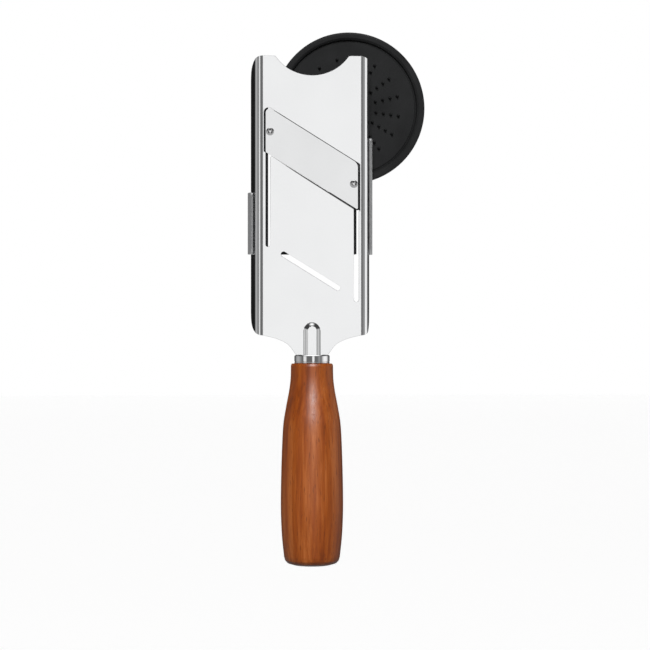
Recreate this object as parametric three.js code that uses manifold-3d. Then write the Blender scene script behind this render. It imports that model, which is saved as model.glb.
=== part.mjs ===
// Hand-held mandoline slicer with a turned wooden handle and a round finger guard parked behind it.
// Millimetres. +Z runs from the handle to the blade, the slicing bed faces -Y, and the origin is on
// the handle's axis at its mid-length, where a hand holds it.
import * as THREE from 'three';
import { mergeVertices } from 'three/addons/utils/BufferGeometryUtils.js';
import Module from 'manifold-3d';

// ---- driving dimensions ----
const SHEET = 1.2; // thickness of the bed's and the bridge's sheet
const BED_FRONT = -SHEET / 2; // Y of the bed's front face
const BED_BACK = SHEET / 2;
const FIT = 0.3; // gap left where two pieces meet
const SNUG = 0.1; // gap between flat faces that lie on each other

// folded channel of the body
const BED_HALF = 27.3; // half-width of the flat bed, between its bends
const BEND = 4.6; // outer radius of the bends
const FLARE = THREE.MathUtils.degToRad(9); // side walls lean outwards by this much
const CHANNEL_DEPTH = 14.6; // from the bed's front to the walls' rear edges
const TOP_Z = 229; // tips of the horns
const SHOULDER_Z = 72.4; // lower corners of the channel
const NOTCH = { z: 243, radius: 25, hornRound: 2 }; // arc cut into the top edge
// how far the walls' ends draw back from the bed's end, as [depth behind the bed's front, setback]
const WALL_END = [[0, 0], [3.5, 1.7], [8, 3.2], [12, 5.8], [13.9, 9], [15, 15.7]];

// slant shared by the blade, the diagonal slot and the line on which the ramp tongue bends
const SLANT = 0.62; // fall in Z per unit of X
const slanted = (zAtCentre, x) => zAtCentre - SLANT * x;
const BLADE_TOP_Z = 184.9; // the lines' heights on the centre plane
const BLADE_EDGE_Z = 158.8;
const HINGE_Z = 108;
const BLADE = { left: -26, right: 25.8, thickness: 1.0, grind: 3.2, tip: 0.15 };
const WINDOW = { left: -27, right: 27 };
const SEAM = 0.3; // seam above the blade
const EDGE_GAP = 0.12; // between cutting edge and ramp tongue, which is closed up to it
const SCREW_X = 23.5;
const BLADE_MID_Z = (BLADE_TOP_Z + BLADE_EDGE_Z) / 2;
const LEFT_SLOT = { inner: -23.4, outer: -26 };
const RIGHT_SLOT = { inner: 23.5, outer: 26.3 };
const DIAGONAL_SLOT = { from: -15.9, to: 14.5, width: 3 };

// neck, tang and embossing
const NECK = [[BED_HALF, SHOULDER_Z], [19.8, 70.5], [13.6, 67.4], [9.2, 61.8]]; // half-width and Z
const TANG = { half: 6, bottom: -24 };
const EMBOSS = { half: 2.6, flank: 1.95, height: 1.2, top: 79.6 };

// handle and ferrule
const HANDLE_TOP = 56.7;
const HANDLE_BOTTOM = -56.7;
const FERRULE = { top: 61.5, radius: 9.9, spigot: 7.8, spigotLength: 6 };

// rear bridge and the blade frame inside the channel
const BRIDGE = { bottom: 118, left: 152.7, right: 183.5, front: 4.4, plate: 15 };
// notches that leave the upright slots free to the rear: X from and to, Z from and to
const NOTCHES = [[-24.4, -21.8, 121.3, 160], [25.4, 28.2, 110, 145]];
const STRAP = { bend: 2.4, wallGap: 0.6, lobe: 9 }; // the bridge's outer bend, gap to the walls, stud's lobe
const CROSSBAR = { left: -22.4, right: 25.1, front: 5.2, back: 9, top: 146, footTop: 121.3 };
// strips behind the upright slots and beside the blade's right end: X from and to, Z from and to
const RAILS = [[-28, -24.5, BRIDGE.bottom, 203], [23.8, 25.1, BRIDGE.bottom, 163], [24.6, 28, 143, 164.2]];
const RAIL_FRONT = 0.8;
const PAD = { half: 6.7, inner: 19.5, outer: 26, back: 6 }; // blocks that carry the blade's ends
const BOSS = { x: 17, z: 126, radius: 4.2 };
const SCREW = 1.4; // shank radius of the blade's and the bridge's screws
const NUT = { radius: 3, front: 6.1, back: 8.5 };

// adjuster
const SPINDLE = { z: 136, radius: 2.5, front: 2.5, back: 24.5 };
const KNOB = { radius: 11, front: 17.6, back: 27.2, collar: 6.5, scallops: 12, cap: 7.3, recess: 1.4 };
const BUSH = { radius: 4, flange: 5.6, front: 13, back: 17.2 };

// finger guard, parked on a stud
const STUD = { shank: 2, radius: 8, back: 19.2, rivet: 3.2 };
const MAGNET = { radius: 7, front: 19.6, back: 22.6 };
const GRIP_SCREW = { head: 2, shank: 1.25 };
const GUARD = { x: 22.7, z: 201.4, radius: 43, face: 20.8, rim: 17.8, back: 23.4 };
const SPIKE = { rows: 16, perRow: 4, first: 15.4, pitch: 4.3, radius: 0.95, height: 3.3, tilt: 14.2 };

// ---- solids ----
const wasm = await Module();
wasm.setup();

// a closed three.js geometry as a solid, its triangles turned to face out
function solid(geometry) {
  const bare = geometry.clone();
  bare.deleteAttribute('normal');
  bare.deleteAttribute('uv');
  const merged = mergeVertices(bare, 1e-4);
  const xyz = merged.attributes.position;
  const corner = [new THREE.Vector3(), new THREE.Vector3(), new THREE.Vector3()];
  const triangles = [];
  let volume = 0;
  for (let i = 0; i < merged.index.count; i += 3) {
    const [a, b, c] = [0, 1, 2].map((k) => merged.index.getX(i + k));
    if (a === b || b === c || c === a) continue;
    triangles.push([a, b, c]);
    [a, b, c].forEach((v, k) => corner[k].fromBufferAttribute(xyz, v));
    volume += corner[0].dot(corner[1].clone().cross(corner[2]));
  }
  const outward = volume < 0 ? triangles.map(([a, b, c]) => [a, c, b]) : triangles;
  return new wasm.Manifold(new wasm.Mesh({
    numProp: 3,
    vertProperties: new Float32Array(xyz.array),
    triVerts: new Uint32Array(outward.flat()),
  }));
}

function geometryOf(manifold) {
  const mesh = manifold.getMesh();
  const geometry = new THREE.BufferGeometry();
  geometry.setAttribute('position', new THREE.BufferAttribute(new Float32Array(mesh.vertProperties), 3));
  geometry.setIndex(new THREE.BufferAttribute(new Uint32Array(mesh.triVerts), 1));
  geometry.computeVertexNormals();
  return geometry;
}

const group = new THREE.Group();

function add(name, manifold, finish) {
  const mesh = new THREE.Mesh(geometryOf(manifold), new THREE.MeshStandardMaterial(finish));
  mesh.name = name;
  group.add(mesh);
}

const joined = (...parts) => parts.reduce((whole, part) => whole.add(part));

// ---- outlines and extrusions ----

// closed outline through [x, y, cornerRadius] points, its corners rounded by arcs
function outline(points, arcSteps = 6) {
  const path = [];
  points.forEach(([x, y, radius = 0], i) => {
    const here = new THREE.Vector2(x, y);
    const before = points[(i + points.length - 1) % points.length];
    const after = points[(i + 1) % points.length];
    const back = new THREE.Vector2(before[0], before[1]).sub(here).normalize();
    const ahead = new THREE.Vector2(after[0], after[1]).sub(here).normalize();
    const half = Math.acos(THREE.MathUtils.clamp(back.dot(ahead), -1, 1)) / 2;
    if (radius === 0 || half < 1e-3 || Math.PI / 2 - half < 1e-3) {
      path.push(here);
      return;
    }
    const centre = back.clone().add(ahead).normalize().multiplyScalar(radius / Math.sin(half)).add(here);
    const start = here.clone().addScaledVector(back, radius / Math.tan(half)).sub(centre);
    const end = here.clone().addScaledVector(ahead, radius / Math.tan(half)).sub(centre);
    const turn = Math.atan2(start.cross(end), start.dot(end));
    for (let k = 0; k <= arcSteps; k += 1) {
      path.push(start.clone().rotateAround(new THREE.Vector2(), (turn * k) / arcSteps).add(centre));
    }
  });
  return new THREE.Shape(path);
}

function circle(x, y, radius, steps = 24) {
  const ring = Array.from({ length: steps }, (_, k) => (2 * Math.PI * k) / steps);
  return new THREE.Shape(ring.map((a) => (
    new THREE.Vector2(x + radius * Math.cos(a), y + radius * Math.sin(a)))));
}

// straight slot with round ends between two points
function stadium(x0, y0, x1, y1, width, steps = 8) {
  const lean = Math.atan2(y1 - y0, x1 - x0);
  const path = [];
  for (const [x, y, start] of [[x0, y0, lean + Math.PI / 2], [x1, y1, lean - Math.PI / 2]]) {
    for (let k = 0; k <= steps; k += 1) {
      const a = start + (Math.PI * k) / steps;
      path.push(new THREE.Vector2(x + (width / 2) * Math.cos(a), y + (width / 2) * Math.sin(a)));
    }
  }
  return new THREE.Shape(path);
}

const flat = (shape, depth) => new THREE.ExtrudeGeometry(shape, { depth, bevelEnabled: false });

// outline in X and Z, from y0 back to y1
const facing = (shape, y0, y1) => solid(flat(shape, y1 - y0).rotateX(Math.PI / 2).translate(0, y1, 0));

// outline in X and Y, from z0 up to z1
const upright = (shape, z0, z1) => solid(flat(shape, z1 - z0).translate(0, 0, z0));

// outline in Y and Z, from x0 across to x1
function sideways(shape, x0, x1) {
  const turn = new THREE.Matrix4().makeBasis(
    new THREE.Vector3(0, 1, 0), new THREE.Vector3(0, 0, 1), new THREE.Vector3(1, 0, 0));
  return solid(flat(shape, x1 - x0).applyMatrix4(turn).translate(x0, 0, 0));
}

const rectangle = (x0, y0, x1, y1, radius = 0) => outline([
  [x0, y0, radius], [x1, y0, radius], [x1, y1, radius], [x0, y1, radius]]);

// ---- turned pieces: profiles of [radius, height] that start and end on the axis or close ----

function turned(profile, steps) {
  return new THREE.LatheGeometry(profile.map(([r, h]) => new THREE.Vector2(r, h)), steps);
}

// turned about a line along Y through (x, z)
const turnedY = (profile, x, z, steps = 32) => solid(turned(profile, steps).translate(x, 0, z));

// turned about the Z axis
const turnedZ = (profile, steps = 48) => solid(turned(profile, steps).rotateX(Math.PI / 2));

const rodY = (x, z, radius, y0, y1, steps = 24) => turnedY([[0, y0], [radius, y0], [radius, y1], [0, y1]],
  x, z, steps);

// ---- folded sheets ----

// section of the body in X and Y: flat bed, a bend each side, and flared walls running back
function channelSection() {
  const steps = 6;
  const turn = Math.PI / 2 - FLARE;
  const face = (r) => {
    const points = [];
    for (let k = 0; k <= steps; k += 1) {
      const a = (turn * k) / steps;
      points.push([BED_HALF + r * Math.sin(a), BEND - r * Math.cos(a)]);
    }
    const [x, y] = points[points.length - 1];
    points.push([x + (CHANNEL_DEPTH - y) * Math.tan(FLARE), CHANNEL_DEPTH]);
    return points;
  };
  const right = [...face(BEND), ...face(BEND - SHEET).reverse()];
  const left = [...right].reverse().map(([x, y]) => [-x, y]);
  return new THREE.Shape([...right, ...left].map(([x, y]) => new THREE.Vector2(x, BED_FRONT + y)));
}

// half-width of the body's outer wall at a depth behind the bed's front face
const bendEnd = { x: BED_HALF + BEND * Math.cos(FLARE), depth: BEND * (1 - Math.sin(FLARE)) };
const wallHalf = (depth) => bendEnd.x + (depth - bendEnd.depth) * Math.tan(FLARE);

// outline of the walls seen from the side, square at the bed and drawn back at both rear corners
function wallOutline() {
  const end = new THREE.SplineCurve(WALL_END.map(([y, z]) => new THREE.Vector2(y, z))).getPoints(14);
  const upper = end.map(({ x, y }) => new THREE.Vector2(BED_FRONT + x, TOP_Z - y));
  const lower = end.map(({ x, y }) => new THREE.Vector2(BED_FRONT + x, SHOULDER_Z + y)).reverse();
  const inFront = BED_FRONT - 2;
  return new THREE.Shape([new THREE.Vector2(inFront, SHOULDER_Z), new THREE.Vector2(inFront, TOP_Z),
    ...upper, ...lower]);
}

const bodyChannel = () => upright(channelSection(), SHOULDER_Z, TOP_Z)
  .intersect(sideways(wallOutline(), -50, 50));

// the bed narrows to the neck along a curved shoulder on each side, then steps in to the tang
function neckOutline() {
  const overlap = 1;
  const shoulder = new THREE.SplineCurve(NECK.map(([x, z]) => new THREE.Vector2(x, z))).getPoints(10);
  const half = [
    [BED_HALF, SHOULDER_Z + overlap, 0],
    ...shoulder.map(({ x, y }) => [x, y, 0]),
    [TANG.half, FERRULE.top + FIT, 0],
    [TANG.half, TANG.bottom, 2],
  ];
  return outline([...half, ...half.map(([x, z, r]) => [-x, z, r]).reverse()], 5);
}

// stamped rib: a flat top with sloping flanks, round at its upper end and open at the tang's
function embossing() {
  const run = new THREE.ExtrudeGeometry(
    stadium(0, EMBOSS.top - EMBOSS.flank - EMBOSS.half, 0, TANG.bottom - 10, EMBOSS.half * 2),
    {
      depth: SHEET / 2,
      bevelThickness: EMBOSS.height,
      bevelSize: EMBOSS.flank,
      bevelSegments: 1,
    });
  return solid(run.rotateX(Math.PI / 2));
}

// window for the blade and the space of the ramp tongue with its two upright slots
function bedOpenings() {
  const line = (z, x, r = 0) => [x, slanted(z, x), r];
  const through = [BED_FRONT - 1, BED_BACK + 1];
  const window = outline([
    line(BLADE_EDGE_Z - EDGE_GAP, WINDOW.left, 1.2), line(BLADE_EDGE_Z - EDGE_GAP, WINDOW.right, 1.2),
    line(BLADE_TOP_Z + SEAM, WINDOW.right, 1.2), line(BLADE_TOP_Z + SEAM, WINDOW.left, 2.6)]);
  const tongueSpace = outline([
    line(HINGE_Z - FIT / 2, LEFT_SLOT.outer), line(HINGE_Z - FIT / 2, RIGHT_SLOT.outer),
    line(BLADE_MID_Z, RIGHT_SLOT.outer), line(BLADE_MID_Z, LEFT_SLOT.outer)]);
  const slot = ({ inner, outer }) => {
    const x = (inner + outer) / 2;
    return stadium(x, slanted(BLADE_MID_Z, x), x, slanted(HINGE_Z, x), Math.abs(outer - inner));
  };
  return joined(facing(window, ...through), facing(tongueSpace, ...through),
    facing(slot(LEFT_SLOT), ...through), facing(slot(RIGHT_SLOT), ...through),
    facing(diagonalSlot(), ...through));
}

function diagonalSlot() {
  const { from, to, width } = DIAGONAL_SLOT;
  return stadium(from, slanted(HINGE_Z, from), to, slanted(HINGE_Z, to), width);
}

// the arc in the top edge, its ends eased over the two horns
function notchOutline() {
  const { z, radius, hornRound } = NOTCH;
  const drop = z - TOP_Z + hornRound;
  const x = Math.sqrt((radius + hornRound) ** 2 - drop ** 2);
  const lean = Math.atan2(drop, x);
  const above = TOP_Z + 20;
  const shape = new THREE.Shape([new THREE.Vector2(x, above), new THREE.Vector2(x, TOP_Z)]);
  shape.absarc(x, TOP_Z - hornRound, hornRound, Math.PI / 2, Math.PI - lean, false);
  shape.absarc(0, z, radius, -lean, Math.PI + lean, true);
  shape.absarc(-x, TOP_Z - hornRound, hornRound, lean, Math.PI / 2, false);
  shape.lineTo(-x, above);
  return shape;
}

function bodySheet() {
  const rib = embossing();
  const ribStretch = facing(rectangle(-BED_HALF, TANG.bottom, BED_HALF, SHOULDER_Z + 20), -10, 10);
  return joined(bodyChannel(), facing(neckOutline(), BED_FRONT, BED_BACK))
    .subtract(facing(notchOutline(), BED_FRONT - 1, CHANNEL_DEPTH))
    .subtract(bedOpenings())
    .add(rib.intersect(ribStretch))
    .subtract(rib.translate(0, SHEET, 0));
}

// the piece of bed between the slots, which bends back along the slanted line at its foot
function rampTongue() {
  const line = (z, x) => [x, slanted(z, x), 0.8];
  const shape = outline([
    line(HINGE_Z + FIT / 2, LEFT_SLOT.inner), line(HINGE_Z + FIT / 2, RIGHT_SLOT.inner),
    line(BLADE_EDGE_Z - EDGE_GAP, RIGHT_SLOT.inner), line(BLADE_EDGE_Z - EDGE_GAP, LEFT_SLOT.inner)]);
  return facing(shape, BED_FRONT, BED_BACK).subtract(facing(diagonalSlot(), -2, 2));
}

// ---- blade and its fasteners ----

const screwPlaces = [-SCREW_X, SCREW_X].map((x) => [x, slanted(BLADE_MID_Z, x)]);

// plate with a bevel ground on the rear of its lower edge
function blade() {
  const { left, right, thickness, grind, tip } = BLADE;
  const back = BED_FRONT + thickness;
  const line = (z, x, r) => [x, slanted(z, x), r];
  const shape = outline([
    line(BLADE_EDGE_Z, left, 1), line(BLADE_EDGE_Z, right, 0.6),
    line(BLADE_TOP_Z, right, 4.5), line(BLADE_TOP_Z, left, 2.2)]);
  const plate = facing(shape, BED_FRONT, back);
  const slope = (thickness - tip) / grind;
  const wedge = new THREE.Shape([
    [BED_FRONT + tip - slope, -1], [back + 1, -1], [back + 1, grind + 1 / slope],
  ].map(([y, z]) => new THREE.Vector2(y, z)));
  const reach = 45;
  const ground = geometryOf(sideways(wedge, -reach, reach)).rotateY(Math.atan(SLANT));
  const holes = joined(...screwPlaces.map(([x, z]) => rodY(x, z, SCREW + SNUG, -3, 3)));
  return plate.subtract(solid(ground.translate(0, 0, BLADE_EDGE_Z))).subtract(holes);
}

// domed head on the blade, shank through the frame's pad
function bladeScrew([x, z]) {
  const head = BED_FRONT - SNUG;
  const end = 9.4;
  return turnedY([
    [0, head - 1.1], [1.0, head - 1.0], [1.75, head - 0.65], [2.2, head - 0.1], [2.2, head],
    [SCREW, head], [SCREW, end], [0, end]], x, z, 20);
}

function bladeNut([x, z]) {
  return facing(circle(x, z, NUT.radius, 6), NUT.front, NUT.back).subtract(rodY(x, z, SCREW + SNUG, 0, 12));
}

// ---- blade frame: black moulding inside the channel, with a rail behind each upright slot ----

function bladeFrame() {
  const { front, back } = CROSSBAR;
  const box = (x0, x1, y0, y1, z0, z1) => upright(rectangle(x0, y0, x1, y1), z0, z1);
  const rails = joined(...RAILS.map(([x0, x1, z0, z1]) => box(x0, x1, RAIL_FRONT, back, z0, z1)));
  const bar = box(CROSSBAR.left, CROSSBAR.right, front, back, BRIDGE.bottom, CROSSBAR.top)
    .add(box(RAILS[0][0], CROSSBAR.left + 1, front, back, BRIDGE.bottom, CROSSBAR.footTop));
  const underBlade = BED_FRONT + BLADE.thickness + SNUG;
  const pads = joined(...screwPlaces.map(([x, z]) => {
    const [from, to] = x < 0 ? [-PAD.outer, -PAD.inner] : [PAD.inner, PAD.outer];
    return box(from, to, underBlade, PAD.back, z - PAD.half, z + PAD.half);
  }));
  const seats = joined(...screwPlaces.map(([x, z]) => (
    facing(circle(x, z, NUT.radius + FIT), PAD.back, back + 1))));
  const bossXs = [-BOSS.x, BOSS.x];
  const bosses = joined(...bossXs.map((x) => (
    rodY(x, BOSS.z, BOSS.radius, back - 1, BRIDGE.plate - SNUG))));
  const bores = joined(
    ...screwPlaces.map(([x, z]) => rodY(x, z, SCREW + SNUG, -1, back + 1)),
    ...bossXs.map((x) => rodY(x, BOSS.z, SCREW + SNUG, front - 1, BRIDGE.plate + 1)),
    rodY(0, SPINDLE.z, BUSH.radius + 2, 0, back + 1, 32));
  return joined(rails, bar, pads, bosses).subtract(seats).subtract(bores);
}

// ---- rear bridge: folded steel strap over the walls, with a lobe that carries the parking stud ----

const bridgeRear = BRIDGE.plate + SHEET;

// section in X and Y: flat plate at the rear, flanges that follow the body's walls on their outside
function bridgeSection() {
  const { bend, wallGap } = STRAP;
  const { front } = BRIDGE;
  const steps = 4;
  const outerFace = (y) => wallHalf(y - BED_FRONT) + (wallGap + SHEET) / Math.cos(FLARE);
  const bendY = bridgeRear - bend;
  const half = outerFace(bendY) - bend / Math.cos(FLARE);
  const turn = Math.PI / 2 + FLARE;
  const face = (r) => {
    const points = [];
    for (let k = 0; k <= steps; k += 1) {
      const a = (turn * k) / steps;
      points.push([half + r * Math.sin(a), bendY + r * Math.cos(a)]);
    }
    const [x, y] = points[points.length - 1];
    points.push([x - (y - front) * Math.tan(FLARE), front]);
    return points;
  };
  const right = [...face(bend), ...face(bend - SHEET).reverse()];
  const left = [...right].reverse().map(([x, y]) => [-x, y]);
  return new THREE.Shape([...right, ...left].map(([x, y]) => new THREE.Vector2(x, y)));
}

function rearBridge() {
  const { bottom, left, right, front, plate } = BRIDGE;
  const { lobe } = STRAP;
  const behind = bridgeRear + 1;
  const wide = 45;
  const flangeStart = 30;
  const strap = outline([
    [-wide, bottom], [wide, bottom], [wide, right], [flangeStart, right, 6], [8, left, 16], [-wide, left]]);
  const flange = (top) => outline([
    [front, bottom, 3], [behind, bottom], [behind, top], [front, top, 3]]);
  const folded = upright(bridgeSection(), bottom, right)
    .intersect(facing(strap, front - 1, behind))
    .intersect(joined(
      sideways(flange(left), -wide, -flangeStart),
      sideways(flange(right), flangeStart, wide),
      sideways(rectangle(front - 1, bottom, behind, right), -flangeStart, flangeStart)));
  const half = lobe - 0.04; // the arm's sides lie just inside the lobe's
  const arm = outline([
    [GUARD.x - half, bottom + 42], [flangeStart, bottom + 42], [flangeStart + 1, right, 6],
    [GUARD.x + half, GUARD.z], [GUARD.x - half, GUARD.z], [GUARD.x - half, right - 5.5]]);
  const holes = joined(
    rodY(0, SPINDLE.z, BUSH.radius + SNUG, plate - 5, behind, 32),
    rodY(GUARD.x, GUARD.z, STUD.shank + SNUG, plate - 5, behind),
    ...[-BOSS.x, BOSS.x].map((x) => rodY(x, BOSS.z, SCREW + SNUG, plate - 5, behind)));
  const notches = joined(...NOTCHES.map(([x0, x1, z0, z1]) => (
    facing(rectangle(x0, z0, x1, z1, 1), plate - 1, behind))));
  return joined(folded, facing(circle(GUARD.x, GUARD.z, lobe, 40), plate, bridgeRear),
    facing(arm, plate, bridgeRear)).subtract(holes).subtract(notches);
}

// ---- adjuster ----

const threadedBush = () => turnedY([
  [SPINDLE.radius + SNUG, BUSH.front], [BUSH.radius, BUSH.front], [BUSH.radius, bridgeRear + SNUG],
  [BUSH.flange, bridgeRear + SNUG], [BUSH.flange, BUSH.back],
  [SPINDLE.radius + SNUG, BUSH.back], [SPINDLE.radius + SNUG, BUSH.front]], 0, SPINDLE.z, 32);

// button with a rounded front and a socket for the spindle's tip
const pressurePad = () => turnedY([
  [0, 0.9], [2.6, 0.95], [3.4, 1.2], [4, 1.8], [4, 3.6], [2.2, 3.6], [2.2, 2.4], [0, 2.4]],
0, SPINDLE.z, 32);

const adjustingSpindle = () => turnedY([
  [0, SPINDLE.front], [1.4, SPINDLE.front + 0.1], [2.1, 3.0], [2.1, 4.2], [SPINDLE.radius, 4.6],
  [SPINDLE.radius, SPINDLE.back], [0, SPINDLE.back]], 0, SPINDLE.z, 32);

// scalloped grip with a blind bore for the spindle and a recess for the cap
function adjustingKnob() {
  const { radius, front, back, collar, scallops, cap, recess } = KNOB;
  const dip = 0.45;
  const steps = scallops * 8;
  const rim = Array.from({ length: steps }, (_, k) => {
    const a = (2 * Math.PI * k) / steps;
    const r = radius - dip + dip * Math.cos(scallops * a);
    return new THREE.Vector2(r * Math.cos(a), SPINDLE.z + r * Math.sin(a));
  });
  const rod = (r, y0, y1, segments) => rodY(0, SPINDLE.z, r, y0, y1, segments);
  return facing(new THREE.Shape(rim), front + 1.6, back)
    .add(rod(collar, front, front + 2, 32))
    .subtract(rod(SPINDLE.radius + SNUG, front - 1, SPINDLE.back + SNUG, 32))
    .subtract(rod(cap + SNUG, back - recess, back + 1, 40));
}

function knobCap() {
  const { back, cap, recess } = KNOB;
  const seat = back - recess + SNUG;
  return turnedY([[0, seat], [cap, seat], [cap, back - 0.2], [cap - 0.7, back + 0.3], [0, back + 0.6]],
    0, SPINDLE.z, 40);
}

function bridgeScrew(x) {
  const seat = bridgeRear + SNUG;
  return turnedY([
    [0, 9.5], [SCREW, 9.5], [SCREW, seat], [2.9, seat], [2.9, seat + 0.8], [2.2, seat + 1.6],
    [1.1, seat + 2.0], [0, seat + 2.1]], x, BOSS.z, 20);
}

// ---- finger guard ----

// steel button riveted through the bridge's lobe
function parkingStud() {
  const { shank, radius, back, rivet } = STUD;
  const seat = bridgeRear + SNUG;
  return turnedY([
    [0, 13.9], [rivet, 14.0], [rivet, BRIDGE.plate - SNUG], [shank, BRIDGE.plate - SNUG], [shank, seat],
    [radius - 0.4, seat], [radius, seat + 0.4], [radius, back - 0.4], [radius - 0.4, back], [0, back]],
  GUARD.x, GUARD.z, 32);
}

// round dish with a grooved rim, a raised centre for the magnet, and spikes in straight rows
function guardShell() {
  const { x, z, radius, face, rim, back } = GUARD;
  const groove = 0.885 * radius;
  const dish = turnedY([
    [0, MAGNET.front], [9.4, MAGNET.front], [10, face], [groove - 0.6, face], [groove, face + 0.7],
    [groove + 0.6, face - 1.6], [groove + 1.6, rim + 0.4], [radius - 1.6, rim], [radius - 0.5, rim + 0.6],
    [radius, rim + 1.8], [radius - 0.4, back - 1], [radius - 2, back], [0, back]], x, z, 64);
  const tip = face - SPIKE.height;
  const spikes = [];
  for (let row = 0; row < SPIKE.rows; row += 1) {
    const a = THREE.MathUtils.degToRad(SPIKE.tilt + (360 * row) / SPIKE.rows);
    for (let k = 0; k < SPIKE.perRow; k += 1) {
      const reach = SPIKE.first + SPIKE.pitch * k;
      spikes.push(turnedY([[0, tip], [0.35, tip + 0.15], [SPIKE.radius, face + 0.2], [0, face + 0.2]],
        x + reach * Math.cos(a), z + reach * Math.sin(a), 8));
    }
  }
  const magnetSeat = rodY(x, z, MAGNET.radius + SNUG, face - 3, MAGNET.back + SNUG, 32);
  const bore = rodY(x, z, GRIP_SCREW.shank + FIT, face, back + 2);
  return joined(dish, ...spikes).subtract(magnetSeat).subtract(bore);
}

// disc with a sunk hole for the grip's screw
function guardMagnet() {
  const { radius, front, back } = MAGNET;
  return turnedY([
    [1.6, front], [radius - 0.4, front], [radius, front + 0.4], [radius, back], [2.2, back],
    [2.2, GUARD.face + 0.6], [1.6, front]], GUARD.x, GUARD.z, 32);
}

// mushroom grip behind the disc, hollowed for its screw
function guardKnob() {
  const base = GUARD.back + SNUG;
  const knob = turnedY([
    [0, base], [11, base], [8.2, base + 2.2], [7.2, base + 6], [8.6, base + 9.5], [12.6, base + 13],
    [14.6, base + 16], [14.2, base + 19], [11.5, base + 21.2], [6, base + 22.2], [0, base + 22.4]],
  GUARD.x, GUARD.z, 48);
  return knob.subtract(rodY(GUARD.x, GUARD.z, GRIP_SCREW.shank + SNUG, base - 1, base + 10.5));
}

function guardKnobScrew() {
  const { head, shank } = GRIP_SCREW;
  const front = GUARD.face + 0.75;
  const seat = GUARD.face + 1.7;
  return turnedY([[0, front], [head, front], [head, seat], [shank, seat], [shank, GUARD.back + 10],
    [0, GUARD.back + 10.4]], GUARD.x, GUARD.z, 20);
}

// ---- ferrule and handle ----

// room for the tang and its rib between two heights
function tangSpace(z0, z1) {
  const depth = BED_BACK + FIT;
  const rib = EMBOSS.half + EMBOSS.flank + FIT;
  const half = TANG.half + FIT;
  return upright(outline([
    [-half, -depth], [-rib, -depth], [-EMBOSS.half - FIT, -depth - EMBOSS.height],
    [EMBOSS.half + FIT, -depth - EMBOSS.height], [rib, -depth], [half, -depth],
    [half, depth], [-half, depth]]), z0, z1);
}

function ferrule() {
  const { top, radius, spigot, spigotLength } = FERRULE;
  const low = HANDLE_TOP + SNUG;
  const ring = turnedZ([
    [0, low - spigotLength], [spigot, low - spigotLength], [spigot, low], [radius - 0.1, low],
    [radius, low + 0.3], [radius, top - 0.5], [radius - 0.5, top], [0, top]], 56);
  return ring.subtract(tangSpace(low - spigotLength - 1, top + 1));
}

// turned bottle shape: half-widths down the handle, smoothed through a spline
function handle() {
  const swell = new THREE.SplineCurve([
    [11.8, 55.4], [12.0, 48], [12.9, 41], [14.6, 32], [16.1, 22], [16.9, 6], [17.4, -14], [17.4, -27],
    [16.8, -40], [15.6, -51.5]].map(([r, z]) => new THREE.Vector2(r, z))).getPoints(14);
  const profile = [
    [0, HANDLE_TOP], [11.2, HANDLE_TOP], [11.6, HANDLE_TOP - 0.4], ...swell.map(({ x, y }) => [x, y]),
    [15.0, -53.4], [13.6, -54.9], [9.5, -56.1], [4.5, -56.6], [0, HANDLE_BOTTOM]];
  const bore = FERRULE.spigot + SNUG;
  const floor = HANDLE_TOP - FERRULE.spigotLength - 1.7;
  const well = turnedZ([[0, floor], [bore, floor], [bore, HANDLE_TOP + 2], [0, HANDLE_TOP + 2]], 56);
  return turnedZ(profile, 40).subtract(well).subtract(tangSpace(TANG.bottom - 1, HANDLE_TOP));
}

// ---- finishes ----
const POLISHED = { color: 0xd6d8da, metalness: 1, roughness: 0.18 };
const BRUSHED = { color: 0xc4c6c8, metalness: 1, roughness: 0.35 };
const CHROME = { color: 0xe6e7e9, metalness: 1, roughness: 0.06 };
const BLACK = { color: 0x1b1c1d, metalness: 0, roughness: 0.55 };
const WOOD = { color: 0x9c5527, metalness: 0, roughness: 0.5 };

add('body_sheet', bodySheet(), POLISHED);
add('ramp_tongue', rampTongue(), POLISHED);
add('blade', blade(), BRUSHED);
['left', 'right'].forEach((side, i) => {
  add(`blade_screw_${side}`, bladeScrew(screwPlaces[i]), CHROME);
  add(`blade_nut_${side}`, bladeNut(screwPlaces[i]), BRUSHED);
  add(`bridge_screw_${side}`, bridgeScrew(i === 0 ? -BOSS.x : BOSS.x), CHROME);
});
add('blade_frame', bladeFrame(), BLACK);
add('rear_bridge', rearBridge(), POLISHED);
add('threaded_bush', threadedBush(), BRUSHED);
add('pressure_pad', pressurePad(), BLACK);
add('adjusting_spindle', adjustingSpindle(), BRUSHED);
add('adjusting_knob', adjustingKnob(), BLACK);
add('knob_cap', knobCap(), CHROME);
add('parking_stud', parkingStud(), CHROME);
add('guard_shell', guardShell(), BLACK);
add('guard_magnet', guardMagnet(), CHROME);
add('guard_knob', guardKnob(), BLACK);
add('guard_knob_screw', guardKnobScrew(), BRUSHED);
add('ferrule', ferrule(), CHROME);
add('handle', handle(), WOOD);

export default group;
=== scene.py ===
import math

import bmesh
import bpy
from mathutils import Matrix, Vector
from mathutils.geometry import delaunay_2d_cdt


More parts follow.
